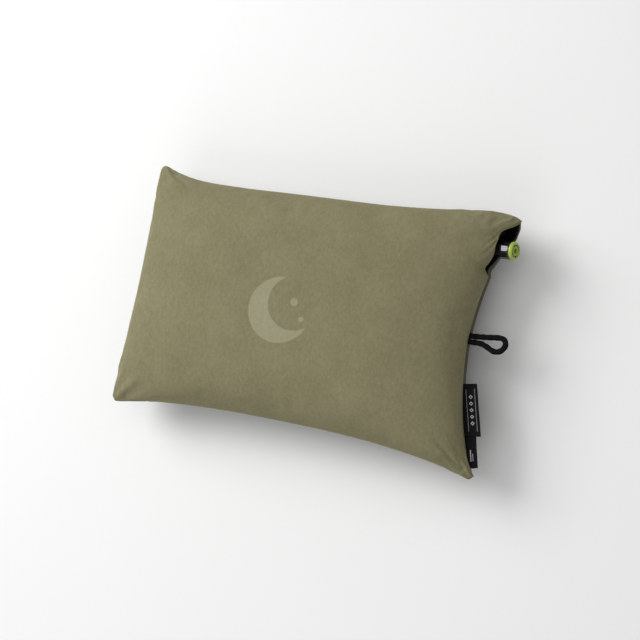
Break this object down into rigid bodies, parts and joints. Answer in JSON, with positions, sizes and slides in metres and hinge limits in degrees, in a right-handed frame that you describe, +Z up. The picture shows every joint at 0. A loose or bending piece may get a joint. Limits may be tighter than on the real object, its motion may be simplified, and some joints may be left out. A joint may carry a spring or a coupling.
{
  "type": "inflatable camp pillow",
  "caption": "Inflatable camp pillow with a brushed fabric cover over a foam pad and a baffled air cell, a twist valve in a slit of the end seam, a cord loop and side labels.",
  "frame": {"origin": "centre of the flat patch that the pillow's back rests on", "axes": "+X along the pillow's length towards the end with the valve, +Y across it towards the valve's corner, +Z up out of the face that the head lies on"},
  "size_m": [0.442, 0.28, 0.1],
  "materials": {
    "face_suede": "matte brushed microsuede, faintly mottled",
    "back_fabric": "matte woven",
    "facing_fabric": "matte woven",
    "foam": "open-cell foam",
    "cell_fabric": "coated, slightly shiny",
    "boot_rubber": "satin",
    "black_plastic": "glossy",
    "lime_plastic": "satin",
    "seal_rubber": "satin",
    "loop_cord": "braided",
    "label_weave": "close satin weave"
  },
  "bodies": {
    "back_half": {"cover_bottom_panel": "back_fabric", "slit_facing_bottom": "facing_fabric", "slit_facing_top": "facing_fabric", "air_cell_bottom_sheet": "cell_fabric", "valve_weld_base": "boot_rubber", "valve_boot": "boot_rubber", "valve_body": "black_plastic", "valve_plug": "black_plastic", "stem_o_ring": "seal_rubber"},
    "face_half": {"cover_top_panel": "face_suede", "foam_pad": "foam", "air_cell_top_sheet": "cell_fabric", "baffle_left": "cell_fabric", "baffle_middle": "cell_fabric", "baffle_right": "cell_fabric"},
    "valve_mouthpiece": {"mouthpiece": "lime_plastic", "face_seal": "seal_rubber"},
    "valve_collar": {"twist_collar": "black_plastic"},
    "loop": {"hang_loop": "loop_cord"},
    "long_label": {"side_label": "label_weave"},
    "short_label": {"care_label": "label_weave"}
  },
  "joints": [
    {"name": "face_compress", "type": "slide", "parent": "back_half", "child": "face_half", "axis": [0, 0, 1], "range_m": [-0.02, 0], "stiffness_N_per_m": 2000, "deforming": ["cover_top_panel", "foam_pad", "air_cell_top_sheet", "baffle_left", "baffle_middle", "baffle_right"]},
    {"name": "valve_slide", "type": "slide", "parent": "back_half", "child": "valve_mouthpiece", "axis": [0.9397, 0, 0.342], "range_m": [0, 0.003]},
    {"name": "valve_twist", "type": "hinge", "parent": "valve_mouthpiece", "child": "valve_collar", "pos_m": [0.19916, 0.1055, 0.05107], "axis": [0.9397, 0, 0.342], "range_deg": [0, 120]},
    {"name": "loop_swing", "type": "hinge", "parent": "back_half", "child": "loop", "pos_m": [0.18856, 0.006, 0.05], "axis": [0, 1, 0], "range_deg": [-60, 60], "stiffness_Nm_per_rad": 0.01},
    {"name": "long_label_flip", "type": "hinge", "parent": "back_half", "child": "long_label", "pos_m": [0.19467, -0.07, 0.05], "axis": [-0.2095, 0.9778, 0], "range_deg": [-60, 60], "stiffness_Nm_per_rad": 0.002},
    {"name": "short_label_flip", "type": "hinge", "parent": "back_half", "child": "short_label", "pos_m": [0.20628, -0.114, 0.05], "axis": [-0.3295, 0.9442, 0], "range_deg": [-60, 60], "stiffness_Nm_per_rad": 0.001}
  ],
  "couplings": [
    {"joint": "valve_twist", "follows": "valve_slide", "rad_per_m": 698.1}
  ]
}
